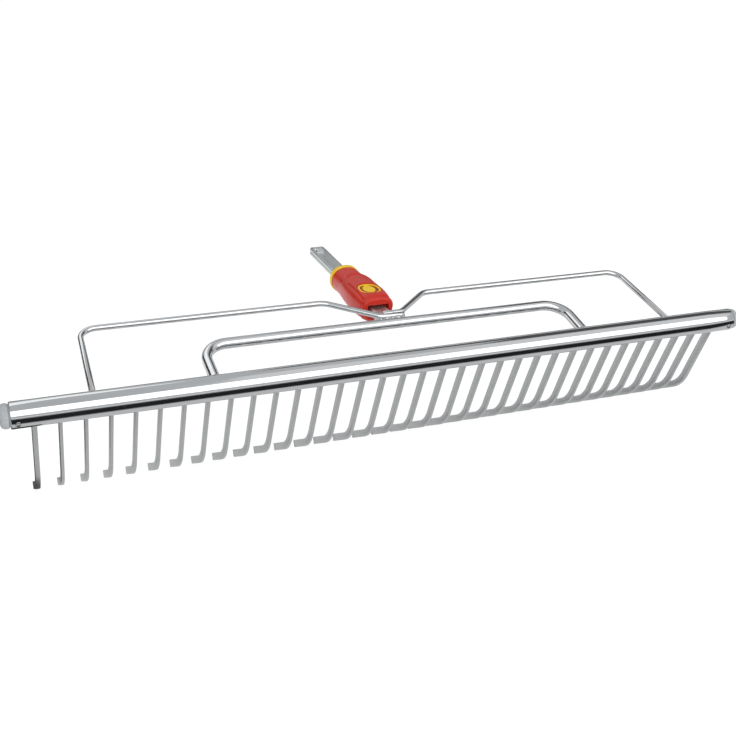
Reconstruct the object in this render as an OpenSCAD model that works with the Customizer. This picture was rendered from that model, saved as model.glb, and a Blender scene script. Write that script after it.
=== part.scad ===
// Leaf rake head: a round crossbar with a row of curved tines, two wire bows,
// and a channel tang with a push-button latch that clips into a handle.
//
// Frame: +Y runs along the handle, away from the rake. +Z is the button side.
// X runs along the crossbar. The origin is the middle of the collar's rear
// face, where the end of the handle rests.

/* [Crossbar] */
// Length of the crossbar tube
bar_len = 600; // [560:1:640]
// Outer diameter of the crossbar tube
bar_od = 19; // [18:0.5:22]
// Wall of the crossbar tube
bar_wall = 1.5; // [1.2:0.1:2]
// Distance from the handle seat forward to the crossbar
bar_reach = 157.7; // [155:0.5:161]
// Distance from the handle axis down to the crossbar
bar_drop = 8.3; // [8:0.1:9]
// How far an end cap stands out of the tube
cap_out = 7; // [5:0.5:9]

/* [Tines] */
// Number of tines
tine_count = 34; // [30:1:34]
// Spacing of the tines
tine_pitch = 17.26; // [17:0.01:17.4]
// Thickness of a tine, along the crossbar
tine_t = 2.4; // [2:0.1:3]
// Thickness of the first and the last tine
end_tine_t = 3.5; // [2.4:0.1:4]
// Depth of a tine, front to back
tine_d = 6; // [5:0.1:7]
// Straight length of a tine, from the crossbar's axis
tine_straight = 65; // [55:1:75]
// Radius of the bend, at the middle of the strip
tine_bend_r = 32; // [25:1:40]
// Angle of the bend
tine_bend = 40; // [30:1:55]
// Straight length beyond the bend
tine_tip = 27; // [15:1:35]
// Lean of the straight tines from square to the handle
tine_lean = 18.5; // [15:0.5:22]

/* [Bows] */
// Diameter of the inner support bow
inner_d = 8.6; // [8:0.1:9]
// Half width of the inner bow
inner_half = 157; // [150:1:165]
// Distance from the crossbar's axis to the back of the inner bow
inner_back = 50.2; // [50:0.1:50.5]
// Bend radius of the inner bow
inner_bend = 19; // [15:1:24]
// Diameter of the outer wire bows
outer_d = 4.8; // [4.4:0.1:5]
// Half width of the outer bow
outer_half = 240.7; // [230:0.1:250]
// Distance from the crossbar's axis to the back of the outer bow
outer_back = 90.2; // [85:0.1:95]
// Bend radius of the outer bow's corners
outer_bend = 13; // [10:1:18]
// Half width at which the outer bow turns in towards the tang
outer_dip = 44.9; // [40:0.1:55]

/* [Tang] */
// Width of the channel
tang_w = 14.5; // [14:0.1:15]
// Height of the channel
tang_h = 6; // [5.8:0.1:6.5]
// Thickness of the channel's steel
tang_t = 1.4; // [1.3:0.1:1.4]
// Length of the tang behind the handle seat
tang_back = 72; // [71:0.5:80]

/* [Grip sleeve] */
// Length of the collar ring
collar_len = 5; // [4:0.5:6]
// Length of the grip sleeve
sleeve_len = 82; // [81:0.5:84]
// Half width of the collar ring
collar_half = 13.7; // [13.4:0.1:14]

/* [Button and latch] */
// Travel of the button
press = 3; // [2:0.1:3]
// Height of the latch nose above the tang
nose_out = 1.3; // [1:0.1:1.4]

/* [Hidden] */
$fn = 48;
eps = 0.01;

bar_r = bar_od / 2;
bore_r = bar_r - bar_wall;
plug_len = 12;
plug_r = bore_r - 0.05;
plug_wall = 1.8;
cap_r = bar_r - 0.7;
cap_edge_r = 2.6;
rivet_r = 1.5;
rivet_head_r = 2.1;
rivet_head_h = 0.5;
rivet_sink = 0.2;
rivet_len = 2.4;            // how far a rivet reaches into the plug
rivet_in = 4.5;

tine_top = 5.5;             // a tine starts this far below the tube's axis

inner_r = inner_d / 2;
outer_r = outer_d / 2;
inner_rise = tine_lean - 6.6;   // slope of each bow's plane, in degrees
outer_rise = tine_lean - 7.8;
leg_spread = 2.9;               // the outer legs stand this much wider at the tube

web_top = 3.7;                  // height of the channel's upper face
web_under = web_top - tang_t;
channel_low = web_top - tang_h;
channel_in = tang_w / 2 - tang_t;
corner_cut = 3;
wire_z = web_top + outer_r + 0.03;
wire_gap = 0.15;
bead_r = 1.2;
bead_h = 2.2;
bead_z = web_top - 2.8;

collar_top = 12.3;
sleeve_back = -collar_len;
sleeve_front = -collar_len - sleeve_len;
mouth_y = -79;
// Each section of the sleeve: y, half width, top, bottom, squareness
sleeve_sections = [
    [sleeve_front, 8.5, 8.0, -5.0, 2.6],
    [-84, 11.0, 9.6, -7.0, 2.7],
    [-79, 12.9, 11.2, -8.6, 2.8],
    [-72, 14.6, 12.2, -9.6, 2.9],
    [-57, 16.2, 12.6, -10.4, 3.0],
    [-39, 15.6, 12.4, -10.6, 2.7],
    [-21, 13.7, 11.9, -10.9, 2.4],
    [sleeve_back, 13.2, 11.7, -11.7, 2.2]
];
panel_half = 10.5;
panel_front = -71;
panel_rear = -23;
panel_lift = 0.7;

button_y = -57.2;
button_top = 11.6;
button_thick = 2.2;
button_gap = 0.3;
rim_w = 1.5;
rim_h = 0.8;
badge_h = 0.6;

stem_half = 2.7;
stem_front = -60.5;
stem_back = -51;
stem_low = -0.7;
cavity_low = stem_low - press - 2.1;
wedge_0 = -55.3;                // the wedge face is the plane y = z + wedge_0
slide_gap = 0.1;

rod_half = 3;
rod_top = web_under - 0.05;
rod_low = rod_top - 1;
rod_foot = -1.7;
rod_foot_back = -48;
rod_tip = 11;
ramp_len = 3.2;
ramp_rise = 0.45;

pin_y = -11;
pin_z = -0.4;
pin_r = 0.8;
pin_clear = 0.03;
boss_r = 1.6;
lever_half = 3.5;
lever_top = rod_low - slide_gap;
lever_t = 1.3;
lever_end = 70;
bump_r = 0.6;
nose_y = 60.5;
nose_len = 6.5;
window_y0 = 58;
window_y1 = 70.5;
window_half = 4.2;

spring_r = 6.6;
spring_wire = 0.7;
spring_turns = 3;
latch_spring_r = 1.5;

screw_y = -69;
screw_r = 1.75;
screw_head_r = 3.2;
screw_head_h = 2;
screw_seat = -7;

function unit(v) = v / norm(v);
function tine_name(i) = str("tine_", i < 10 ? "0" : "", i);
function sgn_pow(v, p) = sign(v) * pow(abs(v), p);

// Places its children in the crossbar's own frame: tines straight down
module at_bar() {
    translate([0, -bar_reach, -bar_drop]) rotate([tine_lean, 0, 0]) children();
}

// Turns the X, Y and Z axes onto e1, e2 and e3 and moves the origin to p
module frame_at(p, e1, e2, e3) {
    multmatrix([
        [e1[0], e2[0], e3[0], p[0]],
        [e1[1], e2[1], e3[1], p[1]],
        [e1[2], e2[2], e3[2], p[2]],
        [0, 0, 0, 1]
    ]) children();
}

// Straight round rod from a to b
module rod(a, b, r) {
    d = unit(b - a);
    side = abs(d[2]) < 0.9 ? unit(cross([0, 0, 1], d)) : unit(cross([1, 0, 0], d));
    frame_at(a, side, cross(d, side), d) cylinder(h = norm(b - a), r = r);
}

// Points along the line p, with its inner corners rounded to the radii bend
function bent_path(p, bend, steps = 7) =
    let (n = len(p), dirs = [for (i = [0 : n - 2]) unit(p[i + 1] - p[i])])
    concat([p[0]], [for (i = [1 : n - 2])
        let (turn = acos(dirs[i - 1] * dirs[i]),
             start = p[i] - dirs[i - 1] * bend[i - 1] * tan(turn / 2),
             inward = unit(dirs[i] - (dirs[i] * dirs[i - 1]) * dirs[i - 1]))
        for (k = [0 : steps])
            let (w = turn * k / steps)
            start + bend[i - 1] * (sin(w) * dirs[i - 1] + (1 - cos(w)) * inward)
    ], [p[n - 1]]);

// Closed solid through rings of points, each ring with the same number of them
module skin(rings) {
    n = len(rings);
    sides = len(rings[0]);
    points = [for (ring = rings) each ring];
    walls = [for (i = [0 : n - 2], k = [0 : sides - 1])
        let (a = i * sides + k, b = i * sides + (k + 1) % sides)
        each [[a + sides, b + sides, b], [a + sides, b, a]]];
    first = [for (k = [1 : sides - 2]) [0, k, k + 1]];
    top = (n - 1) * sides;
    end = [for (k = [1 : sides - 2]) [top, top + k + 1, top + k]];
    polyhedron(points = points, faces = concat(first, walls, end));
}

// Closed tube of round section swept along the points p
module wire_sweep(p, r, sides = 8) {
    n = len(p);
    skin([for (i = [0 : n - 1])
        let (d = unit(p[min(i + 1, n - 1)] - p[max(i - 1, 0)]),
             u = unit(cross(abs(d[0]) < 0.9 ? [1, 0, 0] : [0, 1, 0], d)),
             v = cross(d, u))
        [for (k = [0 : sides - 1]) p[i] + r * (cos(k * 360 / sides) * u + sin(k * 360 / sides) * v)]
    ]);
}

// Side view of a strip: straight down, a bend backwards and a straight tip
module tine_outline() {
    steps = 16;
    out_r = tine_bend_r + tine_d / 2;
    in_r = tine_bend_r - tine_d / 2;
    back = [sin(tine_bend), -cos(tine_bend)];
    function on_arc(r, k) =
        let (w = tine_bend * k / steps)
        [tine_bend_r - r * cos(w), -tine_straight - r * sin(w)];
    polygon(concat(
        [[-tine_d / 2, -tine_top]],
        [for (k = [0 : steps]) on_arc(out_r, k)],
        [on_arc(out_r, steps) + tine_tip * back, on_arc(in_r, steps) + tine_tip * back],
        [for (k = [steps : -1 : 0]) on_arc(in_r, k)],
        [[tine_d / 2, -tine_top]]
    ));
}

module tine_strip(t) {
    translate([-t / 2, 0, 0]) rotate([90, 0, 90]) linear_extrude(t) tine_outline();
}

function tine_x(i) = (i - (tine_count + 1) / 2) * tine_pitch;
function tine_thick(i) = (i == 1 || i == tine_count) ? end_tine_t : tine_t;

module tine(i) {
    color("darkgray") at_bar() translate([tine_x(i), 0, 0]) tine_strip(tine_thick(i));
}

module crossbar_tube() {
    color("silver") at_bar() difference() {
        translate([-bar_len / 2, 0, 0]) rotate([0, 90, 0]) cylinder(h = bar_len, r = bar_r);
        translate([-bar_len / 2 - 1, 0, 0]) rotate([0, 90, 0])
            cylinder(h = bar_len + 2, r = bore_r);
        for (i = [1 : tine_count])
            translate([tine_x(i) - tine_thick(i) / 2, -tine_d / 2, -bar_r - 1])
                cube([tine_thick(i), tine_d, bar_r]);
        for (s = [-1, 1])
            translate([s * (bar_len / 2 - rivet_in), 0, 0]) rotate([90, 0, 0]) union() {
                cylinder(h = bar_r + 1, r = rivet_r);
                translate([0, 0, bar_r - rivet_sink]) cylinder(h = 1, r = rivet_head_r);
            }
    }
}

// Plastic plug with a domed flange; the open end of its skirt is inside the tube
module end_cap(side) {
    color("gray") at_bar() rotate([0, side * 90, 0]) difference() {
        union() {
            translate([0, 0, bar_len / 2 - plug_len]) cylinder(h = plug_len + eps, r = plug_r);
            translate([0, 0, bar_len / 2]) rotate_extrude() union() {
                square([cap_r - cap_edge_r, cap_out]);
                square([cap_r, cap_out - cap_edge_r]);
                translate([cap_r - cap_edge_r, cap_out - cap_edge_r]) circle(r = cap_edge_r);
            }
        }
        translate([0, 0, bar_len / 2 - plug_len - 1]) cylinder(h = plug_len, r = plug_r - plug_wall);
        translate([0, 0, bar_len / 2 - rivet_in]) rotate([90, 0, 0])
            cylinder(h = bar_r, r = rivet_r);
    }
}

module end_cap_left() {
    end_cap(-1);
}

module end_cap_right() {
    end_cap(1);
}

module cap_rivet(side) {
    color("gainsboro") at_bar() translate([side * (bar_len / 2 - rivet_in), 0, 0])
        rotate([90, 0, 0]) union() {
            translate([0, 0, plug_r - rivet_len])
                cylinder(h = bar_r - plug_r + rivet_len, r = rivet_r);
            translate([0, 0, bar_r - rivet_sink])
                cylinder(h = rivet_head_h, r1 = rivet_head_r, r2 = rivet_head_r - 0.5);
        }
}

module cap_rivet_left() {
    cap_rivet(-1);
}

module cap_rivet_right() {
    cap_rivet(1);
}

// A point in the plane of a bow: x along the crossbar, d out from its axis
function bow_point(x, d, rise) =
    [x, -bar_reach + d * cos(rise), -bar_drop + d * sin(rise)];

// Places its children in the plane of a bow: Y runs out from the crossbar
module in_bow_plane(rise) {
    translate([0, -bar_reach, -bar_drop]) rotate([rise, 0, 0]) children();
}

module inner_bow() {
    leg = inner_back - inner_bend;
    run = inner_half - inner_bend;
    color("silver") difference() {
        in_bow_plane(inner_rise) union() {
            translate([-run, inner_back, 0]) rotate([0, 90, 0])
                cylinder(h = 2 * run, r = inner_r);
            for (s = [-1, 1]) {
                translate([s * inner_half, leg, 0]) rotate([90, 0, 0])
                    cylinder(h = leg - 5, r = inner_r);
                translate([s * run, leg, 0]) rotate([0, 0, s > 0 ? 0 : 90])
                    rotate_extrude(angle = 90) translate([inner_bend, 0]) circle(r = inner_r);
            }
        }
        bar_solid();
    }
}

// The crossbar as a full cylinder, taken away from what is welded to it
module bar_solid() {
    at_bar() translate([-bar_len / 2, 0, 0]) rotate([0, 90, 0])
        cylinder(h = bar_len, r = bar_r);
}

// side is -1 or 1; the bow ends beside the tang at end_x, on the line y = lap_y
module outer_bow(side, lap_y, turn_x, end_x) {
    foot = bar_r + 0.1;
    color("silver") wire_sweep(bent_path([
        bow_point(side * (outer_half + leg_spread), foot, outer_rise),
        bow_point(side * outer_half, outer_back, outer_rise),
        bow_point(side * outer_dip, outer_back, outer_rise),
        [side * turn_x, lap_y, wire_z],
        [end_x, lap_y, wire_z]
    ], [outer_bend, outer_bend + 2, 9]), outer_r, 16);
}

function inner_bar_y() = bow_point(0, inner_back, inner_rise)[1];
function inner_bar_z() = bow_point(0, inner_back, inner_rise)[2];

front_lap_y = inner_bar_y() + 6.2;
rear_lap_y = front_lap_y + outer_d + wire_gap;

module outer_bow_left() {
    outer_bow(-1, front_lap_y, 7, 12.5);
}

module outer_bow_right() {
    outer_bow(1, rear_lap_y, 12, -4);
}

// A weld bead: a ring of filler round the foot of a rod on the crossbar
module foot_weld(x, d, rise, r, size) {
    difference() {
        intersection() {
            rod(bow_point(x, bar_r - 2, rise), bow_point(x, bar_r + size, rise), r + size * 0.7);
            at_bar() translate([x - 20, 0, 0]) rotate([0, 90, 0])
                cylinder(h = 40, r = bar_r + size);
        }
        rod(bow_point(x, d - 30, rise), bow_point(x, d + 30, rise), r);
        bar_solid();
    }
}

module bow_welds() {
    color("darkgray") {
        for (s = [-1, 1]) {
            foot_weld(s * inner_half, bar_r, inner_rise, inner_r, 1.6);
            foot_weld(s * (outer_half + leg_spread), bar_r, outer_rise, outer_r + 0.1, 1.4);
        }
        for (s = [-1, 1])
            translate([s * (tang_w / 2 + bead_r), inner_bar_y() + inner_r + bead_r, bead_z])
                cylinder(h = bead_h, r = bead_r);
    }
}

// Outline of the channel seen along the handle: open below, grooved sides
module channel_outline() {
    edge_r = 1.2;
    groove_z = web_top - 3.2;
    difference() {
        union() {
            translate([-tang_w / 2 + edge_r, web_top - 2 * edge_r])
                square([tang_w - 2 * edge_r, 2 * edge_r]);
            translate([-tang_w / 2, channel_low]) square([tang_w, tang_h - edge_r]);
            for (s = [-1, 1])
                translate([s * (tang_w / 2 - edge_r), web_top - edge_r]) circle(r = edge_r);
        }
        translate([-channel_in, channel_low - 1]) square([2 * channel_in, tang_h - tang_t + 1]);
        for (s = [-1, 1])
            translate([s * tang_w / 2, groove_z]) square([0.8, 1.6], center = true);
    }
}

module tang() {
    front = inner_bar_y();
    color("lightgray") difference() {
        translate([0, tang_back, 0]) rotate([90, 0, 0])
            linear_extrude(tang_back - front) channel_outline();
        translate([-tang_w, front, inner_bar_z()]) rotate([0, 90, 0])
            cylinder(h = 2 * tang_w, r = inner_r + eps);
        translate([-tang_w, front - 20, -30]) cube([2 * tang_w, 20 + 0.5, 60]);
        for (s = [-1, 1])
            translate([s * tang_w / 2, tang_back, 0]) rotate([0, 0, 45])
                cube([corner_cut, corner_cut, 4 * tang_h], center = true);
        translate([-window_half, window_y0, web_under - 1])
            cube([2 * window_half, window_y1 - window_y0, tang_t + 2]);
        translate([-stem_half - 0.8, stem_front - 0.5, web_under - 1])
            cube([2 * stem_half + 1.6, stem_back - stem_front + 1, tang_t + 2]);
        translate([-tang_w, pin_y, pin_z]) rotate([0, 90, 0]) cylinder(h = 2 * tang_w, r = pin_r);
        translate([0, screw_y, web_under - 1]) cylinder(h = tang_t + 2, r = screw_r);
    }
}

// Rounded-square outline with half width a, from z = low to z = high
function section(a, high, low, n, sides = 40) = [
    for (k = [0 : sides - 1])
        let (w = 360 * k / sides)
        [a * sgn_pow(cos(w), 2 / n), (high + low) / 2 + (high - low) / 2 * sgn_pow(sin(w), 2 / n)]
];

// The sleeve's solid outer form, thickened all round by grow
module sleeve_form(grow = 0) {
    skin([for (i = [len(sleeve_sections) - 1 : -1 : 0])
        let (s = sleeve_sections[i])
        [for (q = section(s[1] + grow, s[2] + grow, s[3] - grow, s[4])) [q[0], s[0], q[1]]]
    ]);
}

// Plan of the button: a rounded shield
module shield(grow) {
    translate([0, button_y]) hull() for (s = [-1, 1]) {
        translate([s * 4, -4.8]) circle(r = 5.5 + grow, $fn = 32);
        translate([s * 4.3, 5]) circle(r = 5 + grow, $fn = 32);
    }
}

module panel_plan() {
    hull() {
        translate([0, panel_rear - panel_half]) circle(r = panel_half, $fn = 32);
        translate([0, panel_front + panel_half]) circle(r = panel_half, $fn = 32);
    }
}

module grip_sleeve() {
    color("firebrick") difference() {
        union() {
            sleeve_form();
            intersection() {
                sleeve_form(panel_lift);
                linear_extrude(20) panel_plan();
            }
        }
        translate([-tang_w / 2, sleeve_front - 1, channel_low - 0.02])
            cube([tang_w, sleeve_len + 2, tang_h + 0.02]);
        translate([-20, sleeve_front - 1, channel_low - 0.02])
            cube([40, mouth_y - sleeve_front + 1, 30]);
        translate([-channel_in, screw_y + 6, cavity_low])
            cube([2 * channel_in, -screw_y, channel_low - cavity_low + 0.5]);
        translate([0, 0, web_top - 1]) linear_extrude(20) shield(button_gap);
        translate([0, screw_y, -20]) cylinder(h = 20, r = screw_r);
        translate([0, screw_y, screw_seat - 20]) cylinder(h = 20, r = screw_head_r + 0.2);
    }
}

module collar_ring() {
    color("gold") difference() {
        rotate([90, 0, 0]) linear_extrude(collar_len)
            polygon(section(collar_half, collar_top, -collar_top, 2.2, 64));
        translate([-tang_w / 2, -collar_len - 1, cavity_low])
            cube([tang_w, collar_len + 2, web_top - cavity_low]);
    }
}

module release_button() {
    color("firebrick") union() {
        translate([0, 0, button_top - button_thick]) linear_extrude(button_thick) shield(0);
        translate([-stem_half, 0, 0]) rotate([90, 0, 90]) linear_extrude(2 * stem_half) polygon([
            [stem_front, button_top - 1],
            [stem_front, stem_low],
            [stem_low + wedge_0, stem_low],
            [stem_back, stem_back - wedge_0],
            [stem_back, button_top - 1]
        ]);
    }
}

module button_rim() {
    color("gold") translate([0, 0, button_top]) linear_extrude(rim_h) difference() {
        shield(0);
        shield(-rim_w);
    }
}

// A plain leaf: two arcs that meet in two points, with a vein between the halves
module button_badge() {
    leaf_r = 8.2;
    leaf_off = 2.9;
    color("gold") translate([0, button_y, button_top]) linear_extrude(badge_h) difference() {
        intersection() {
            translate([-leaf_off, 0]) circle(r = leaf_r);
            translate([leaf_off, 0]) circle(r = leaf_r);
        }
        translate([-0.25, -leaf_r]) square([0.5, 1.4 * leaf_r]);
    }
}

// Coil round the button's stem; its ends rest on the channel and the button
module button_spring() {
    low = web_top + spring_wire / 2 + 0.02;
    high = button_top - button_thick - spring_wire / 2 - 0.02;
    steps = 20 * spring_turns;
    mid_y = (stem_front + stem_back) / 2;
    color("dimgray") wire_sweep([for (i = [0 : steps])
        let (w = 18 * i)
        [spring_r * cos(w), mid_y + spring_r * sin(w), low + (high - low) * i / steps]
    ], spring_wire / 2);
}

module push_rod() {
    face = wedge_0 + slide_gap * sqrt(2);
    color("white") translate([-rod_half, 0, 0]) rotate([90, 0, 90])
        linear_extrude(2 * rod_half) polygon([
            [rod_top + face, rod_top],
            [rod_foot + face, rod_foot],
            [rod_foot_back, rod_foot],
            [rod_foot_back, rod_low],
            [rod_tip - ramp_len, rod_low],
            [rod_tip, rod_low + ramp_rise],
            [rod_tip, rod_top]
        ]);
}

module latch_lever() {
    nose_top = web_top + nose_out;
    color("gainsboro") difference() {
        union() {
            translate([-lever_half, pin_y, lever_top - lever_t])
                cube([2 * lever_half, lever_end - pin_y, lever_t]);
            translate([-lever_half, pin_y, pin_z]) rotate([0, 90, 0])
                cylinder(h = 2 * lever_half, r = boss_r);
            translate([-lever_half, rod_tip + 0.2, lever_top + ramp_rise - bump_r])
                rotate([0, 90, 0]) cylinder(h = 2 * lever_half, r = bump_r);
            translate([-lever_half + 0.3, 0, 0]) rotate([90, 0, 90])
                linear_extrude(2 * lever_half - 0.6) polygon([
                    [nose_y, lever_top - 0.5],
                    [nose_y, nose_top],
                    [nose_y + 2.5, nose_top],
                    [nose_y + nose_len, web_top - 0.8],
                    [nose_y + nose_len, lever_top - 0.5]
                ]);
        }
        translate([-tang_w, pin_y, pin_z]) rotate([0, 90, 0])
            cylinder(h = 2 * tang_w, r = pin_r + pin_clear);
        for (s = [-1, 1])
            translate([s * (lever_half + 1), pin_y, pin_z])
                cube([5, 4.4, 8], center = true);
    }
}

module latch_pin() {
    color("silver") translate([-tang_w / 2, pin_y, pin_z]) rotate([0, 90, 0])
        cylinder(h = tang_w, r = pin_r);
}

// Torsion spring on the pin beside the lever: two turns and two straight legs
module latch_spring() {
    wire_r = 0.3;
    pitch = 0.62;
    x0 = lever_half + 0.6;
    color("dimgray") union() {
        for (i = [0, 1])
            translate([x0 + i * pitch, pin_y, pin_z]) rotate([0, 90, 0])
                rotate_extrude() translate([latch_spring_r, 0]) circle(r = wire_r, $fn = 24);
        translate([x0 + pitch / 2, pin_y, pin_z + latch_spring_r - 0.05]) rotate([-90, 0, 0])
            cylinder(h = 6, r = wire_r + 0.05, $fn = 24);
        translate([x0 + pitch / 2, pin_y - latch_spring_r + 0.05, pin_z - 3])
            cylinder(h = 3, r = wire_r + 0.05, $fn = 24);
    }
}

module sleeve_screw() {
    color("silver") union() {
        translate([0, screw_y, screw_seat - screw_head_h])
            cylinder(h = screw_head_h, r = screw_head_r);
        translate([0, screw_y, screw_seat - 0.1])
            cylinder(h = web_top - 0.2 - screw_seat, r = screw_r);
    }
}

crossbar_tube();
end_cap_left();
end_cap_right();
cap_rivet_left();
cap_rivet_right();
for (i = [1 : tine_count]) tine(i);
inner_bow();
outer_bow_left();
outer_bow_right();
bow_welds();
tang();
grip_sleeve();
collar_ring();
release_button();
button_rim();
button_badge();
button_spring();
push_rod();
latch_lever();
latch_pin();
latch_spring();
sleeve_screw();
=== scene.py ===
"""Looks for the leaf rake head. Lengths in the helpers are in millimetres, in the row frame."""
import bpy
import bmesh
import math
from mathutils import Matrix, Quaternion, Vector, noise


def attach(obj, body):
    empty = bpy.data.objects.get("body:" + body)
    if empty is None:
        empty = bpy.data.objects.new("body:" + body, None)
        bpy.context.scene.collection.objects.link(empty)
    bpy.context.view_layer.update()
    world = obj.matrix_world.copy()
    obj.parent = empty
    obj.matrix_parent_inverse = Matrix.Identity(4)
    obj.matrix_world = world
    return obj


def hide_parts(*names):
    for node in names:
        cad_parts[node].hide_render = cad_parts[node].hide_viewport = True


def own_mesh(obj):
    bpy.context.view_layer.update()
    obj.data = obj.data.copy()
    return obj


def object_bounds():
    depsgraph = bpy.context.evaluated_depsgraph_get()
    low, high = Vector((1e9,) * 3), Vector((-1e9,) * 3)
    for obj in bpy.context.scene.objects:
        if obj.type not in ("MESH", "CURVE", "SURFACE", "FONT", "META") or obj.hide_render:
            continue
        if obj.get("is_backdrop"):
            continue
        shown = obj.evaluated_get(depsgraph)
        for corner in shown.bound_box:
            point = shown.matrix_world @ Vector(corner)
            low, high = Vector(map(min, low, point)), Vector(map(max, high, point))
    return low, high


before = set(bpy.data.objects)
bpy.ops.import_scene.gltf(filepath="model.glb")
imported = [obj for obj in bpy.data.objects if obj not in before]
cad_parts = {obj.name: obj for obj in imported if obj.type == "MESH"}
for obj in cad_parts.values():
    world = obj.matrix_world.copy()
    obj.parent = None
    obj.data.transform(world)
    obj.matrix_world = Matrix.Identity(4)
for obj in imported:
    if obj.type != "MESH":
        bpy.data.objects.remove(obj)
cad_low, cad_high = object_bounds()
MM = 0.001

# ---------------------------------------------------------------- sizes, as in the CAD
LEAN = math.radians(18.5)
BAR = Vector((0, -157.7, -8.3))
BAR_R, BAR_BORE, BAR_HALF = 9.5, 8.0, 300.0
TINES, PITCH = 34, 17.26
TINE_T, END_TINE_T, TINE_D = 2.4, 3.5, 6.0
TINE_BEND_R, TINE_BEND = 32.0, 40.0
WEB_TOP, TANG_HALF = 3.7, 7.25
INNER_RISE, INNER_R = math.radians(11.9), 4.3
INNER_HALF, INNER_BACK, INNER_BEND = 157, 50.2, 19
INNER_BAR = Vector((0, BAR.y + INNER_BACK * math.cos(INNER_RISE), BAR.z + INNER_BACK * math.sin(INNER_RISE)))
OUTER_RISE, WIRE_R, WIRE_Z = math.radians(10.7), 2.4, 6.13
OUTER_FOOT, OUTER_HALF, OUTER_BACK, OUTER_DIP = 243.6, 240.7, 90.2, 44.9
FRONT_LAP = INNER_BAR.y + 6.2
REAR_LAP = FRONT_LAP + 4.95
BUTTON_Y, BUTTON_TOP, PRESS = -57.2, 11.6, 3.0
MOUTH_Y, MOUTH_ROUND = -79.0, 1.7
SCREW_Y, SEAT = -69.0, -7.0
# y, half width, top, bottom, squareness
SLEEVE = [(-87, 8.5, 8.0, -5.0, 2.6), (-84, 11.0, 9.6, -7.0, 2.7), (-79, 12.9, 11.2, -8.6, 2.8),
          (-72, 14.6, 12.2, -9.6, 2.9), (-57, 16.2, 12.6, -10.4, 3.0), (-39, 15.6, 12.4, -10.6, 2.7),
          (-21, 13.7, 11.9, -10.9, 2.4), (-5, 13.2, 11.7, -11.7, 2.2)]


def at_bar(p):
    """A point given from the crossbar's axis, with the tines straight down, in the row frame."""
    c, s = math.cos(LEAN), math.sin(LEAN)
    return BAR + Vector((p[0], p[1] * c - p[2] * s, p[1] * s + p[2] * c))


def bow_point(x, d, rise):
    return Vector((x, BAR.y + d * math.cos(rise), BAR.z + d * math.sin(rise)))


def smooth01(a, b, x):
    t = max(0.0, min(1.0, (x - a) / (b - a)))
    return t * t * (3 - 2 * t)


def turns(n):
    """n angles evenly round a circle."""
    return [2 * math.pi * k / n for k in range(n)]


# ---------------------------------------------------------------- materials
def material(name, base, metallic, rough, spread=0.05, scale=400.0, dark=0.9, light=1.06, bump=0.05,
             bump_scale=1500.0, stretch=(1, 1, 1), spec=0.5, cells=0.0):
    """A surface whose colour and roughness vary a little, with fine bumps and, where asked, metal grains."""
    m = bpy.data.materials.new(name)
    m.use_nodes = True
    nt = m.node_tree
    nodes, links = nt.nodes, nt.links
    p = nodes["Principled BSDF"]
    p.inputs["Metallic"].default_value = metallic
    p.inputs["Specular IOR Level"].default_value = spec
    tc = nodes.new("ShaderNodeTexCoord")
    mp = nodes.new("ShaderNodeMapping")
    mp.inputs["Scale"].default_value = stretch
    links.new(tc.outputs["Object"], mp.inputs["Vector"])

    def noise_node(s, detail=4.0):
        n = nodes.new("ShaderNodeTexNoise")
        n.inputs["Scale"].default_value = s
        n.inputs["Detail"].default_value = detail
        n.inputs["Roughness"].default_value = 0.55
        links.new(mp.outputs["Vector"], n.inputs["Vector"])
        return n

    def ranged(socket, lo, hi, a=0.3, b=0.7):
        r = nodes.new("ShaderNodeMapRange")
        r.inputs["From Min"].default_value, r.inputs["From Max"].default_value = a, b
        r.inputs["To Min"].default_value, r.inputs["To Max"].default_value = lo, hi
        links.new(socket, r.inputs["Value"])
        return r.outputs["Result"]

    def mixed(fac, a, b):
        x = nodes.new("ShaderNodeMix")
        x.data_type = "RGBA"
        for i, v in ((6, a), (7, b)):
            if isinstance(v, tuple):
                x.inputs[i].default_value = v
            else:
                links.new(v, x.inputs[i])
        links.new(fac, x.inputs[0])
        return x.outputs[2]

    broad = noise_node(scale)
    c0 = tuple(min(1.0, v * dark) for v in base) + (1,)
    c1 = tuple(min(1.0, v * light) for v in base) + (1,)
    colour = mixed(ranged(broad.outputs["Fac"], 0.0, 1.0), c0, c1)
    if cells:
        v = nodes.new("ShaderNodeTexVoronoi")
        v.inputs["Scale"].default_value = cells
        links.new(mp.outputs["Vector"], v.inputs["Vector"])
        cell = ranged(v.outputs["Color"], 0.0, 0.35, 0.0, 1.0)
        colour = mixed(cell, colour, tuple(min(1.0, q * 1.10) for q in base) + (1,))
    links.new(colour, p.inputs["Base Color"])
    fine = noise_node(bump_scale, 3.0)
    links.new(ranged(broad.outputs["Fac"], max(0.01, rough - spread), rough + spread), p.inputs["Roughness"])
    b = nodes.new("ShaderNodeBump")
    b.inputs["Strength"].default_value = bump
    b.inputs["Distance"].default_value = 0.0002
    links.new(fine.outputs["Fac"], b.inputs["Height"])
    links.new(b.outputs["Normal"], p.inputs["Normal"])
    return m


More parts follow.
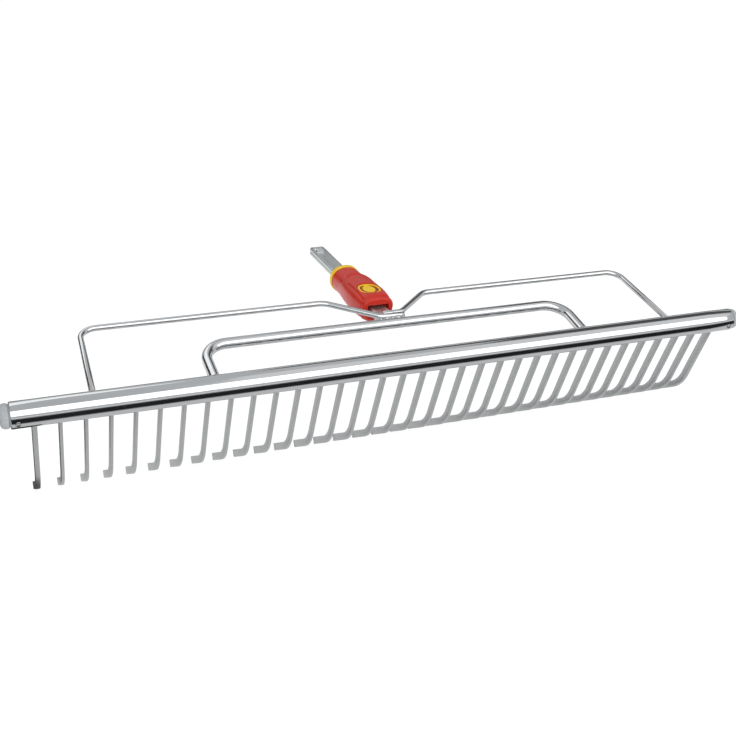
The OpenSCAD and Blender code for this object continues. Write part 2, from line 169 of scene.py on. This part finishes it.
M = {
    "bar": material("plated_tube", (0.63, 0.64, 0.65), 1.0, 0.085, 0.03, 90, 0.97, 1.03, 0.03, 900, (0.15, 1, 1)),
    "bow": material("plated_rod", (0.65, 0.66, 0.67), 1.0, 0.10, 0.03, 160, 0.95, 1.04, 0.03, 900, (0.3, 1, 1)),
    "wire": material("plated_wire", (0.64, 0.65, 0.66), 1.0, 0.12, 0.04, 220, 0.94, 1.05, 0.04, 1200, (0.3, 1, 1)),
    "tine": material("galvanised_tine", (0.50, 0.515, 0.515), 0.95, 0.34, 0.05, 200, 0.93, 1.04, 0.06, 1400,
                     cells=260.0),
    "tang": material("galvanised_channel", (0.58, 0.60, 0.605), 0.95, 0.38, 0.05, 160, 0.95, 1.04, 0.03, 1600,
                     cells=120.0),
    "weld": material("weld_bead", (0.50, 0.51, 0.52), 1.0, 0.27, 0.10, 900, 0.55, 1.25, 0.35, 2200),
    "rivet": material("rivet_steel", (0.52, 0.53, 0.53), 1.0, 0.26, 0.06, 700, 0.85, 1.08, 0.08, 2500),
    "latch": material("latch_steel", (0.66, 0.68, 0.69), 0.9, 0.27, 0.06, 500, 0.90, 1.06, 0.06, 2000),
    "spring": material("spring_steel", (0.22, 0.22, 0.23), 1.0, 0.30, 0.08, 900, 0.80, 1.15, 0.08, 2500),
    "cap": material("grey_plastic", (0.36, 0.375, 0.385), 0.0, 0.46, 0.07, 350, 0.90, 1.08, 0.10, 3000, spec=0.45),
    "red": material("red_plastic", (0.53, 0.024, 0.012), 0.0, 0.30, 0.05, 130, 0.93, 1.05, 0.05, 2600, spec=0.32),
    # Darker copy of the red plastic for the button: painted shade for the dark face inside its yellow rim
    "red_painted_shade": material("red_plastic_button_shaded", (0.32, 0.010, 0.008), 0.0, 0.33, 0.05, 200, 0.92, 1.06, 0.06, 2600,
                         spec=0.3),
    "yellow": material("yellow_plastic", (0.82, 0.55, 0.012), 0.0, 0.32, 0.05, 160, 0.94, 1.04, 0.05, 2600,
                       spec=0.35),
    "rod": material("white_plastic", (0.72, 0.72, 0.69), 0.0, 0.42, 0.05, 300, 0.94, 1.03, 0.05, 2600),
}


# ---------------------------------------------------------------- mesh helpers
def mesh_of(name, verts, faces):
    me = bpy.data.meshes.new(name)
    me.from_pydata([tuple(c * MM for c in v) for v in verts], [], faces)
    return me


def piece(name, verts, faces, mat, nodes=(), sharp=35.0, body="head"):
    return dress(name, mesh_of(name, verts, faces), mat, nodes, sharp, body)


def dress(name, me, mat, nodes=(), sharp=35.0, body="head"):
    """A piece from a mesh: smooth up to the sharp angle, on its body, in place of its nodes."""
    bm = bmesh.new()
    bm.from_mesh(me)
    bmesh.ops.recalc_face_normals(bm, faces=bm.faces)
    for f in bm.faces:
        f.smooth = True
    limit = math.radians(sharp)
    for e in bm.edges:
        e.smooth = len(e.link_faces) != 2 or e.calc_face_angle(0.0) < limit
    bm.to_mesh(me)
    bm.free()
    me.materials.clear()
    me.materials.append(M[mat])
    o = bpy.data.objects.new(name, me)
    bpy.context.scene.collection.objects.link(o)
    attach(o, body)
    if nodes:
        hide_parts(*nodes)
    return o


def stitch(rings, closed_ends=True, cyclic=False):
    """Faces of a skin through rings that hold the same number of points."""
    n, k = len(rings), len(rings[0])
    verts = [v for r in rings for v in r]
    faces = []
    for i in range(n if cyclic else n - 1):
        j = (i + 1) % n
        for a in range(k):
            b = (a + 1) % k
            faces.append((i * k + a, i * k + b, j * k + b, j * k + a))
    if closed_ends and not cyclic:
        faces.append(tuple(range(k - 1, -1, -1)))
        faces.append(tuple((n - 1) * k + a for a in range(k)))
    return verts, faces


def bent(points, radii, steps=12):
    """The line through points with its inner corners rounded."""
    points = [Vector(p) for p in points]
    out = [points[0]]
    for i in range(1, len(points) - 1):
        d0 = (points[i] - points[i - 1]).normalized()
        d1 = (points[i + 1] - points[i]).normalized()
        turn = d0.angle(d1)
        r = radii[i - 1]
        start = points[i] - d0 * r * math.tan(turn / 2)
        inward = (d1 - d0 * d1.dot(d0)).normalized()
        for k in range(steps + 1):
            w = turn * k / steps
            out.append(start + d0 * (r * math.sin(w)) + inward * (r * (1 - math.cos(w))))
    out.append(points[-1])
    return out


def swept(path, r, sides, chamfer):
    """Rings of a round section along the path, with its ends chamfered if chamfer isn't 0."""
    n = len(path)
    dirs = [(path[min(i + 1, n - 1)] - path[max(i - 1, 0)]).normalized() for i in range(n)]
    u = dirs[0].orthogonal().normalized()
    rings = []
    for i in range(n):
        u = (u - dirs[i] * u.dot(dirs[i])).normalized()
        v = dirs[i].cross(u)
        rings.append([path[i] + (u * math.cos(a) + v * math.sin(a)) * r for a in turns(sides)])
    if chamfer:
        k = 1 - chamfer / r
        d0 = (path[0] - path[1]).normalized()
        d1 = (path[-1] - path[-2]).normalized()
        tip0 = [path[0] + (q - path[0]) * k for q in rings[0]]
        tip1 = [path[-1] + (q - path[-1]) * k for q in rings[-1]]
        rings[0] = [q - d0 * chamfer for q in rings[0]]
        rings[-1] = [q - d1 * chamfer for q in rings[-1]]
        rings = [tip0] + rings + [tip1]
    return rings


def lathe_x(profile, sides, closed=True):
    """The skin of a profile (along, radius) turned round the crossbar's axis."""
    rings = [[at_bar((x, r * math.cos(a), r * math.sin(a))) for a in turns(sides)] for x, r in profile]
    return stitch(rings, closed_ends=closed)


def loose(name, verts, faces):
    """An object that isn't a piece, with its faces turned outward."""
    me = mesh_of(name, verts, faces)
    bm = bmesh.new()
    bm.from_mesh(me)
    bmesh.ops.recalc_face_normals(bm, faces=bm.faces)
    bm.to_mesh(me)
    bm.free()
    o = bpy.data.objects.new(name, me)
    bpy.context.scene.collection.objects.link(o)
    return o


def boolean(o, cutters):
    """Cuts the solids (pairs of vertices and faces, in mm) from o and returns the mesh."""
    made = []
    for verts, faces in cutters:
        c = loose("cutter", verts, faces)
        made.append(c)
        mod = o.modifiers.new("cut", "BOOLEAN")
        mod.operation, mod.solver, mod.object = "DIFFERENCE", "EXACT", c
    dg = bpy.context.evaluated_depsgraph_get()
    dg.update()
    out = bpy.data.meshes.new_from_object(o.evaluated_get(dg))
    for c in made:
        bpy.data.objects.remove(c)
    bpy.data.objects.remove(o)
    return out


def prism(outline, z0, z1):
    return stitch([[Vector((x, y, z0)) for x, y in outline], [Vector((x, y, z1)) for x, y in outline]])


def box(x0, x1, y0, y1, z0, z1):
    return prism([(x0, y0), (x1, y0), (x1, y1), (x0, y1)], z0, z1)


def refined(name, node, mat, bevel, body="head", segments=2, angle=30.0):
    """A new piece from a CAD node's shape, with its edges rounded."""
    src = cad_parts[node].data
    bm = bmesh.new()
    bm.from_mesh(src)
    bmesh.ops.remove_doubles(bm, verts=bm.verts, dist=2e-6)
    bmesh.ops.dissolve_limit(bm, angle_limit=math.radians(0.8), verts=bm.verts, edges=bm.edges)
    edges = [e for e in bm.edges if len(e.link_faces) == 2 and e.calc_face_angle(0.0) > math.radians(angle)]
    bmesh.ops.bevel(bm, geom=edges, offset=bevel * MM, offset_type="OFFSET", segments=segments, profile=0.5,
                    affect="EDGES", clamp_overlap=True, harden_normals=False)
    me = bpy.data.meshes.new(name)
    bm.to_mesh(me)
    bm.free()
    return dress(name, me, mat, (node,), 40.0, body)


def keep(node, mat):
    """A CAD node shown as it is, with a better material."""
    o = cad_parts[node]
    o.data.materials.clear()
    o.data.materials.append(M[mat])
    return o


# ---------------------------------------------------------------- crossbar, caps and rivets
E = BAR_HALF
# distance from the tube's end and radius, from inside the bore round the rim
rim = [(14, BAR_BORE), (0.5, BAR_BORE), (0.1, 8.25), (0, 8.6), (0, 9.0), (0.12, 9.3), (0.5, BAR_R)]
verts, faces = lathe_x([(-E + d, r) for d, r in rim] +
                       [(-E + 0.5 + (2 * E - 1) * k / 24, BAR_R) for k in range(1, 24)] +
                       [(E - d, r) for d, r in reversed(rim)], 128, closed=False)
piece("crossbar", verts, faces, "bar", ("crossbar_tube",), 50)

# radius and distance from the tube's end
CAP_PROFILE = [(7.9, -10.0), (7.9, 0.9), (8.1, 1.0), (8.55, 1.15), (8.75, 1.6), (8.8, 2.4), (8.75, 3.4), (8.55, 4.4),
               (8.1, 5.3), (7.3, 6.05), (6.0, 6.6), (4.2, 6.9), (2.2, 6.98), (1.9, 6.8), (1.2, 6.55), (0.05, 6.5)]
# radius and height over the tube's skin
RIVET_PROFILE = [(1.5, -2.0), (1.5, -0.3), (2.1, -0.22), (2.12, 0.12), (1.9, 0.27), (1.45, 0.3), (1.15, 0.16),
                 (0.8, 0.02), (0.4, -0.02), (0.05, -0.03)]
for s, side in ((-1, "left"), (1, "right")):
    verts, faces = lathe_x([(s * (E + d), r) for r, d in CAP_PROFILE], 96)
    piece("end_cap_" + side + "_shell", verts, faces, "cap", ("end_cap_" + side,), 40)
    x = s * (E - 4.5)
    verts, faces = stitch([[at_bar((x + r * math.cos(a), -(BAR_R + h), r * math.sin(a))) for a in turns(32)]
                           for r, h in RIVET_PROFILE])
    piece("rivet_" + side, verts, faces, "rivet", ("cap_rivet_" + side,), 45)


# ---------------------------------------------------------------- tines
def tine_place(i):
    """Where tine i stands along the crossbar, and its thickness."""
    return (i - (TINES + 1) / 2) * PITCH, END_TINE_T if i in (1, TINES) else TINE_T


def tine_piece(i):
    x0, t = tine_place(i)
    d, rad, rounded = TINE_D, TINE_BEND_R, 0.42
    down = (0.0, -1.0)
    line = [((0.0, z), down) for z in (-5.5, -20.0, -42.0, -64.5)]
    for k in range(19):
        w = math.radians(TINE_BEND * k / 18)
        line.append(((rad - rad * math.cos(w), -65.0 - rad * math.sin(w)), (math.sin(w), -math.cos(w))))
    c, g = line[-1]
    for q in (9.0, 18.0, 26.6):
        line.append(((c[0] + g[0] * q, c[1] + g[1] * q), g))
    corner = []
    for turn, (sx, sy) in enumerate(((1, 1), (-1, 1), (-1, -1), (1, -1))):
        for k in range(4):
            a = math.radians(30 * k) + turn * math.pi / 2
            corner.append((sx * (t / 2 - rounded) + rounded * math.cos(a),
                           sy * (d / 2 - rounded) + rounded * math.sin(a)))
    rings = []
    for (cy, cz), (gy, gz) in line:
        ny, nz = -gz, gy
        rings.append([at_bar((x0 + a, cy + b * ny, cz + b * nz)) for a, b in corner])
    (cy, cz), (gy, gz) = line[-1]
    ny, nz = -gz, gy
    cy, cz = cy + gy * 0.4, cz + gz * 0.4
    rings.append([at_bar((x0 + a * (1 - 0.6 / t), cy + b * 0.88 * ny, cz + b * 0.88 * nz)) for a, b in corner])
    verts, faces = stitch(rings)
    name = "tine_%02d" % i
    piece(name + "_strip", verts, faces, "tine", (name,), 40)


for i in range(1, TINES + 1):
    tine_piece(i)

# Filler round the root of each tine, as one piece
verts, faces = [], []
for i in range(1, TINES + 1):
    x0, t = tine_place(i)
    rings = []
    for grow, z in ((1.15, -8.9), (0.95, -9.62), (0.5, -10.05), (0.06, -10.7)):
        ring = []
        for k in range(24):
            a = 2 * math.pi * k / 24
            cx, sx = math.cos(a), math.sin(a)
            px = (t / 2 + grow) * math.copysign(abs(cx) ** 0.45, cx)
            py = (TINE_D / 2 + grow * 0.8) * math.copysign(abs(sx) ** 0.45, sx)
            lift = 0.0 if z > -9 else 0.5 * (1 - math.sqrt(max(0.0, 1 - (py / 9.6) ** 2))) * 9.6
            j = noise.noise(Vector((x0 * 0.7 + px, py, z))) * 0.18
            ring.append(at_bar((x0 + px * (1 + j * 0.2), py, z + lift + j)))
        rings.append(ring)
    v, f = stitch(rings)
    faces += [tuple(q + len(verts) for q in face) for face in f]
    verts += v
piece("tine_roots", verts, faces, "weld", (), 60)

# ---------------------------------------------------------------- bows
corners = ((-INNER_HALF, 8.6), (-INNER_HALF, INNER_BACK), (INNER_HALF, INNER_BACK), (INNER_HALF, 8.6))
path = bent([bow_point(x, d, INNER_RISE) for x, d in corners], [INNER_BEND, INNER_BEND], 20)
verts, faces = stitch(swept(path, INNER_R, 40, chamfer=0))
piece("inner_bow_rod", verts, faces, "bow", ("inner_bow",), 50)


def outer_path(side, lap_y, turn_x, end_x):
    """Centre line of one outer wire, from its foot to its end over the tang."""
    return bent([bow_point(side * OUTER_FOOT, 9.2, OUTER_RISE), bow_point(side * OUTER_HALF, OUTER_BACK, OUTER_RISE),
                 bow_point(side * OUTER_DIP, OUTER_BACK, OUTER_RISE), (side * turn_x, lap_y, WIRE_Z),
                 (end_x, lap_y, WIRE_Z)], [13, 15, 9], 12)


for side, args, name in ((-1, (FRONT_LAP, 7, 12.5), "left"), (1, (REAR_LAP, 12, -4), "right")):
    path = outer_path(side, *args)
    verts, faces = stitch(swept(path, WIRE_R, 28, chamfer=0.45))
    piece("outer_bow_" + name + "_wire", verts, faces, "wire", ("outer_bow_" + name,), 45)

# ---------------------------------------------------------------- weld beads
weld_v, weld_f = [], []


def add_solid(v, f):
    weld_f.extend(tuple(q + len(weld_v) for q in face) for face in f)
    weld_v.extend(v)


def foot_bead(x, rise, r, size):
    """A lumpy bead along the line where a rod meets the crossbar."""
    out = Vector((0, math.cos(rise), math.sin(rise)))
    across = Vector((0, -math.sin(rise), math.cos(rise)))
    ring, n = [], 60
    for k in range(n):
        a = 2 * math.pi * k / n
        rr = r + 0.25
        px, pv = rr * math.cos(a), rr * math.sin(a)
        d = math.sqrt(max(1.0, BAR_R ** 2 - pv ** 2)) + 0.25
        ring.append(BAR + Vector((x, 0, 0)) + Vector((px, 0, 0)) + across * pv + out * d)
    rings = []
    for k in range(n):
        d = (ring[(k + 1) % n] - ring[k - 1]).normalized()
        u = (ring[k] - (BAR + Vector((x, 0, 0)) + out * BAR_R)).normalized()
        u = (u - d * u.dot(d)).normalized()
        w = d.cross(u)
        rad = size * (0.78 + 0.16 * math.sin(k * 2 * math.pi * 9 / n) + 0.25 * noise.noise(ring[k] * 0.9))
        rings.append([ring[k] + (u * math.cos(b) + w * math.sin(b)) * rad for b in turns(12)])
    add_solid(*stitch(rings, closed_ends=False, cyclic=True))


def lump(centre, size, seed):
    """A blob of filler metal: a stretched ball with uneven skin."""
    rings = []
    for i in range(1, 12):
        a = math.pi * i / 12
        ring = []
        for k in range(20):
            b = 2 * math.pi * k / 20
            q = Vector((math.sin(a) * math.cos(b), math.sin(a) * math.sin(b), math.cos(a)))
            j = 1 + 0.30 * noise.noise(q * 1.7 + Vector((seed * 3.1, seed, 0)))
            ring.append(Vector(centre) + Vector((q.x * size[0], q.y * size[1], q.z * size[2])) * j)
        rings.append(ring)
    add_solid(*stitch(rings))


for s in (-1, 1):
    foot_bead(s * INNER_HALF, INNER_RISE, INNER_R, 1.15)
    foot_bead(s * OUTER_FOOT, OUTER_RISE, WIRE_R, 0.95)
# centre, half sizes and seed of each lump where the bows meet the tang
lumps = [((-4.5, FRONT_LAP - 2.9, 5.0), (2.8, 2.1, 2.0), 1), ((0.6, FRONT_LAP - 2.9, 5.2), (2.9, 2.0, 1.8), 2),
         ((5.8, FRONT_LAP - 2.9, 5.0), (3.0, 2.2, 2.0), 3), ((10.8, FRONT_LAP - 2.6, 4.5), (2.3, 2.0, 1.9), 4),
         ((-2.0, FRONT_LAP + 2.5, 5.9), (2.4, 1.1, 1.5), 5), ((4.4, FRONT_LAP + 2.5, 5.9), (2.6, 1.1, 1.6), 6),
         ((10.6, FRONT_LAP + 2.4, 5.8), (2.2, 1.2, 1.5), 7), ((-8.0, FRONT_LAP - 0.9, 4.3), (1.6, 1.7, 1.6), 8),
         ((-8.5, INNER_BAR.y + 5.0, 1.6), (1.5, 1.5, 1.5), 9), ((8.5, INNER_BAR.y + 5.0, 1.6), (1.5, 1.5, 1.5), 10)]
for c, size, seed in lumps:
    lump(c, size, seed)
piece("weld_beads", weld_v, weld_f, "weld", ("bow_welds",), 60)

# ---------------------------------------------------------------- tang and latch
refined("tang_channel", "tang", "tang", 0.18)
refined("latch_plate", "latch_lever", "latch", 0.2, body="latch")
refined("push_rod_bar", "push_rod", "rod", 0.12, body="rod")
keep("latch_pin", "rivet")
keep("latch_spring", "spring")
coil = keep("button_spring", "spring")
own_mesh(coil)


# ---------------------------------------------------------------- grip sleeve
def along(y):
    """Section of the sleeve at y, smoothed between the stated sections."""
    s = SLEEVE
    i = max(0, min(len(s) - 2, sum(1 for q in s if q[0] <= y) - 1))
    p0, p1, p2, p3 = s[max(i - 1, 0)], s[i], s[i + 1], s[min(i + 2, len(s) - 1)]
    t = (y - p1[0]) / (p2[0] - p1[0])
    out = []
    for k in range(1, 5):
        h = p2[0] - p1[0]
        m1 = (p2[k] - p0[k]) / max(1e-6, p2[0] - p0[0]) * h
        m2 = (p3[k] - p1[k]) / max(1e-6, p3[0] - p1[0]) * h
        out.append((2 * t ** 3 - 3 * t ** 2 + 1) * p1[k] + (t ** 3 - 2 * t ** 2 + t) * m1 +
                   (-2 * t ** 3 + 3 * t ** 2) * p2[k] + (t ** 3 - t ** 2) * m2)
    return out


def panel_distance(x, y):
    """Distance from the thumb panel's edge in plan, negative inside it."""
    half = 10.7
    return math.hypot(x, y - max(-90.0, min(-23.0 - half, y))) - half


def sleeve_rings(stations, shrink, sides=128):
    """Rings of the sleeve's skin, with its thumb panel, lip, groove and front band raised or sunk."""
    rings = []
    for y in stations:
        a, top, low, n = along(y)
        q = shrink(y)
        a, top, low = a - q, top - q, low + q
        ring = []
        for k in range(sides):
            w = 2 * math.pi * k / sides
            c, s = math.cos(w), math.sin(w)
            x = a * math.copysign(abs(c) ** (2 / n), c)
            z = (top + low) / 2 + (top - low) / 2 * math.copysign(abs(s) ** (2 / n), s)
            height = (z - (top + low) / 2) / ((top - low) / 2)
            up = smooth01(0.25, 0.6, height)
            d = panel_distance(x, y)
            ahead = smooth01(-74.5, -71.5, y)
            panel = 0.5 * (1 - smooth01(-0.5, 0.6, d)) * ahead
            lip = 0.75 * math.exp(-((d + 0.3) / 0.85) ** 2) * (0.35 + 0.65 * smooth01(-45, -30, y)) * ahead
            groove = -0.45 * math.exp(-((d - 1.3) / 0.7) ** 2) * ahead
            collar = 0.7 * smooth01(-75.2, -76.4, y) - 0.35 * math.exp(-((y + 74.6) / 0.6) ** 2)
            h = up * (panel + lip + groove) + smooth01(-0.2, 0.3, height) * collar
            nx, nz = c * 0.6, max(s, 0.3)
            norm = math.hypot(nx, nz)
            ring.append(Vector((x + h * nx / norm, y, z + h * nz / norm)))
        rings.append(ring)
    return rings


def shield(grow, n=56):
    """Outline of the button: a rounded shield."""
    pts = []
    for a in turns(n):
        c, q = math.cos(a), math.sin(a)
        wide = 9.3 + grow - 0.7 * q
        pts.append((wide * math.copysign(abs(c) ** 0.78, c),
                    BUTTON_Y - 0.1 + (9.7 + grow) * math.copysign(abs(q) ** 0.78, q)))
    return pts


def round_front(y):
    """How far the form is drawn in near its front edge, for a rounded end."""
    t = max(0.0, (MOUTH_Y + MOUTH_ROUND - y) / MOUTH_ROUND)
    return MOUTH_ROUND * (1 - math.sqrt(max(0.0, 1 - min(1.0, t) ** 2)))


stations = [MOUTH_Y + q for q in (0.0, 0.06, 0.22, 0.5, 0.85, 1.25, MOUTH_ROUND)]
stations += [MOUTH_Y + MOUTH_ROUND + 72.3 * k / 120 for k in range(1, 121)]
verts, faces = stitch(sleeve_rings(stations, round_front))

# the part of the sleeve that reaches forward below the tang
SPLIT_Z = -2.35
tongue = []
for k in range(25):
    y = -86.6 + 12.0 * k / 24
    a, top, low, n = along(y)
    t = min(1.0, (y + 86.6) / 3.2)
    q = math.sqrt(max(0.0, 1 - (1 - t) ** 2))
    low = -2.4 + (low + 2.4) * (0.25 + 0.75 * q)
    a = a * (0.8 + 0.2 * q)
    ring = []
    for w in turns(64):
        c, s = math.cos(w), math.sin(w)
        z = SPLIT_Z + (low + 2.35) * abs(s) ** 0.8 if s < 0 else SPLIT_Z + 0.02 * s
        ring.append(Vector((a * math.copysign(abs(c) ** 0.7, c), y, z)))
    tongue.append(ring)
tv, tf = stitch(tongue)
screw_well = stitch([[Vector((3.4 * math.cos(q), SCREW_Y + 3.4 * math.sin(q), z)) for q in turns(40)]
                     for z in (-20, SEAT)])
me = boolean(loose("sleeve", verts, faces), [
    box(-TANG_HALF, TANG_HALF, -95, 1, -2.32, WEB_TOP),
    box(-9.4, 9.4, -80, -73, -2.32, 6.3),
    prism(shield(0.35), 3.0, 30),
    box(-5.85, 5.85, -63, 1, -5.8, -1.8),
    screw_well])
dress("grip_sleeve_shell", me, "red", ("grip_sleeve",), 50)
piece("grip_sleeve_tongue", tv, tf, "red", (), 50)

# ---------------------------------------------------------------- collar ring
rings = []
for y, g in ((-5.0, 0.2), (-4.85, 0.0), (-4.5, -0.05), (-2.5, 0.0), (-0.7, 0.0), (-0.25, 0.18), (0.0, 0.6)):
    ring = []
    for w in turns(96):
        c, s = math.cos(w), math.sin(w)
        ring.append(Vector(((13.7 - g) * math.copysign(abs(c) ** (2 / 2.2), c), y,
                            (12.3 - g) * math.copysign(abs(s) ** (2 / 2.2), s))))
    rings.append(ring)
verts, faces = stitch(rings)
me = boolean(loose("ring", verts, faces), [box(-TANG_HALF, TANG_HALF, -10, 5, -5.8, WEB_TOP)])
dress("collar_ring_band", me, "yellow", ("collar_ring",), 35)

# ---------------------------------------------------------------- button, rim and badge
# Button face in the darker red copy of the sleeve plastic, which is painted shade
refined("button_shield", "release_button", "red_painted_shade", 0.35, body="button", segments=3, angle=60)
rings = []
for g, z in ((0.0, 11.55), (0.0, 12.1), (-0.12, 12.3), (-0.4, 12.4), (-1.1, 12.4), (-1.38, 12.3),
             (-1.5, 12.1), (-1.5, 11.55)):
    rings.append([Vector((x, y, z)) for x, y in shield(g)])
verts, faces = stitch(rings, closed_ends=False, cyclic=True)
piece("button_rim_band", verts, faces, "yellow", ("button_rim",), 40, body="button")

# Leaf: a raised blade with a midrib and side veins cut into it
rows, cols = 44, 22
LEAF_R, LEAF_OFF = 8.2, 2.9
half = math.sqrt(LEAF_R ** 2 - LEAF_OFF ** 2)
grid_top = []
for i in range(rows + 1):
    v = -half + 2 * half * i / rows
    wide = max(0.02, math.sqrt(max(0.0, LEAF_R ** 2 - v * v)) - LEAF_OFF)
    row = []
    for j in range(cols + 1):
        u = -1 + 2 * j / cols
        x = wide * u
        edge = smooth01(1.0, 0.82, abs(u))
        vein = math.exp(-((x) / 0.28) ** 2)
        slant = (v - abs(x) * 0.9) % 2.6
        side = math.exp(-((slant - 1.3) / 0.26) ** 2) * smooth01(0.3, 0.9, abs(x)) * smooth01(0.98, 0.7, abs(u))
        z = BUTTON_TOP + 0.1 + 0.5 * edge - 0.33 * vein * smooth01(half, half * 0.6, v) - 0.22 * side
        row.append(Vector((x, BUTTON_Y + v, z)))
    grid_top.append(row)
verts = [p for row in grid_top for p in row]
top_n = len(verts)
verts += [Vector((p.x, p.y, BUTTON_TOP - 0.05)) for p in verts]
w = cols + 1
faces = []
for i in range(rows):
    for j in range(cols):
        a = i * w + j
        faces.append((a, a + 1, a + w + 1, a + w))
        faces.append((top_n + a, top_n + a + w, top_n + a + w + 1, top_n + a + 1))
for i in range(rows):
    for j in (0, cols):
        a = i * w + j
        faces.append((a, a + w, top_n + a + w, top_n + a))
for j in range(cols):
    for i in (0, rows):
        a = i * w + j
        faces.append((a, a + 1, top_n + a + 1, top_n + a))
piece("button_leaf", verts, faces, "yellow", ("button_badge",), 50, body="button")

# ---------------------------------------------------------------- screw under the sleeve
screw_profile = ((1.75, 3.3), (1.75, SEAT), (3.1, SEAT), (3.2, SEAT - 0.15), (3.2, SEAT - 1.2), (3.05, SEAT - 1.6),
                 (2.6, SEAT - 1.9), (1.8, SEAT - 2.0), (0.05, SEAT - 2.0))
verts, faces = stitch([[Vector((r * math.cos(a), SCREW_Y + r * math.sin(a), z)) for a in turns(40)]
                       for r, z in screw_profile])
me = boolean(loose("screw", verts, faces), [box(-2.0, 2.0, SCREW_Y - 0.4, SCREW_Y + 0.4, SEAT - 3, SEAT - 1.0),
                                            box(-0.4, 0.4, SCREW_Y - 2.0, SCREW_Y + 2.0, SEAT - 3, SEAT - 1.01)])
dress("sleeve_screw_head", me, "rivet", ("sleeve_screw",), 35)


# ---------------------------------------------------------------- floor, light and camera
# Lengths from here on are in metres
def stage_plane(name, corners, mat):
    me = bpy.data.meshes.new(name)
    me.from_pydata([tuple(c) for c in corners], [], [tuple(range(len(corners)))])
    me.materials.append(mat)
    o = bpy.data.objects.new(name, me)
    bpy.context.scene.collection.objects.link(o)
    o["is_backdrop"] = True
    return o


def emitter(name, colour, strength, diffuse=0.0):
    m = bpy.data.materials.new(name)
    m.use_nodes = True
    nt = m.node_tree
    nt.nodes.clear()
    out = nt.nodes.new("ShaderNodeOutputMaterial")
    em = nt.nodes.new("ShaderNodeEmission")
    em.inputs["Color"].default_value = colour + (1,)
    em.inputs["Strength"].default_value = strength
    if diffuse:
        df = nt.nodes.new("ShaderNodeBsdfDiffuse")
        df.inputs["Color"].default_value = (diffuse, diffuse, diffuse, 1)
        ad = nt.nodes.new("ShaderNodeAddShader")
        nt.links.new(em.outputs[0], ad.inputs[0])
        nt.links.new(df.outputs[0], ad.inputs[1])
        nt.links.new(ad.outputs[0], out.inputs["Surface"])
    else:
        nt.links.new(em.outputs[0], out.inputs["Surface"])
    return m


FLOOR_Z = cad_low.z - 0.001
stage_plane("floor", [(-30, -30, FLOOR_Z), (30, -30, FLOOR_Z), (30, 30, FLOOR_Z), (-30, 30, FLOOR_Z)],
            emitter("floor_white", (1, 1, 1), 0.80, 0.30))


def card(name, corners, level):
    """A flat that only shows in reflections."""
    o = stage_plane(name, corners, emitter(name + "_shade", (1, 1, 1.01), level))
    o.visible_camera = False
    o.visible_shadow = False
    o.visible_diffuse = False
    return o


def floor_card(name, x0, x1, y0, y1, level, lift):
    """A card just over the floor, lift tenths of a millimetre up."""
    z = FLOOR_Z + lift * 0.0001
    card(name, [(x0, y0, z), (x1, y0, z), (x1, y1, z), (x0, y1, z)], level)


def wall_card(name, x, y, z0, z1, level):
    """An upright card between two (x, y) ends."""
    card(name, [(x[0], y[0], z0), (x[1], y[1], z0), (x[1], y[1], z1), (x[0], y[0], z1)], level)


TUBE_Y = BAR.y * MM
CARD_X = (-1.4, 2.2)
JUST_UP = FLOOR_Z + 0.002
floor_card("card_front_black", *CARD_X, TUBE_Y - 0.42, TUBE_Y - 0.078, 0.015, 12)
floor_card("card_front_near", *CARD_X, TUBE_Y - 0.078, TUBE_Y - 0.060, 0.28, 12)
floor_card("card_front_far", *CARD_X, TUBE_Y - 0.75, TUBE_Y - 0.42, 0.30, 12)
floor_card("card_front_farther", *CARD_X, TUBE_Y - 1.5, TUBE_Y - 0.75, 0.62, 12)
floor_card("card_left_under", -0.60, -0.278, -0.15, 0.14, 0.03, 13)
floor_card("card_under", *CARD_X, TUBE_Y - 0.060, TUBE_Y + 0.22, 0.69, 12)
wall_card("card_left", (-1.6, -1.6), (0.2, 3.0), JUST_UP, 1.2, 0.04)
card("card_overhead", [(0.6, -1.8, 3.0), (6.0, -1.8, 3.0), (6.0, 0.3, 3.0), (0.6, 0.3, 3.0)], 0.86)
wall_card("card_back_low", (-1.4, 6.0), (1.62, 1.62), JUST_UP, 0.42, 0.12)
DARK_BACK = ((0.5, 1.05), (7.0, 1.05), (7.0, 7.0), (3.2, 6.0), (1.7, 2.3), (0.5, 1.6))
card("card_dark_back", [(x, 1.6, z) for x, z in DARK_BACK], 0.10)

world = bpy.data.worlds.new("studio")
bpy.context.scene.world = world
world.use_nodes = True
bg = world.node_tree.nodes["Background"]
bg.inputs["Color"].default_value = (0.97, 0.985, 1.0, 1)
bg.inputs["Strength"].default_value = 0.62


def softbox(name, loc, target, size_x, size_y, radiance):
    l = bpy.data.lights.new(name, "AREA")
    l.shape = "RECTANGLE"
    l.size, l.size_y = size_x, size_y
    l.energy = radiance * math.pi * size_x * size_y
    o = bpy.data.objects.new(name, l)
    bpy.context.scene.collection.objects.link(o)
    o.location = loc
    o.rotation_mode = "QUATERNION"
    o.rotation_quaternion = (Vector(target) - Vector(loc)).to_track_quat("-Z", "Y")


softbox("key", (1.2, -2.6, 1.85), (1.2, -0.1, 0), 9.0, 2.5, 1.6)
softbox("back_top", (-1.0, 1.8, 2.2), (0, 0, 0), 3.0, 1.4, 0.7)

cam_data = bpy.data.cameras.new("camera")
cam_data.lens = 50.66
cam_data.sensor_width = 36.0
cam_data.clip_start, cam_data.clip_end = 0.05, 100.0
cam = bpy.data.objects.new("camera", cam_data)
bpy.context.scene.collection.objects.link(cam)
cam.location = (-0.32703, -0.80026, 0.33892)
cam.rotation_mode = "QUATERNION"
cam.rotation_quaternion = Quaternion((0.83591, 0.51253, -0.12518, -0.15130))
bpy.context.scene.camera = cam
bpy.context.scene.view_settings.view_transform = "Standard"

low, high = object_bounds()
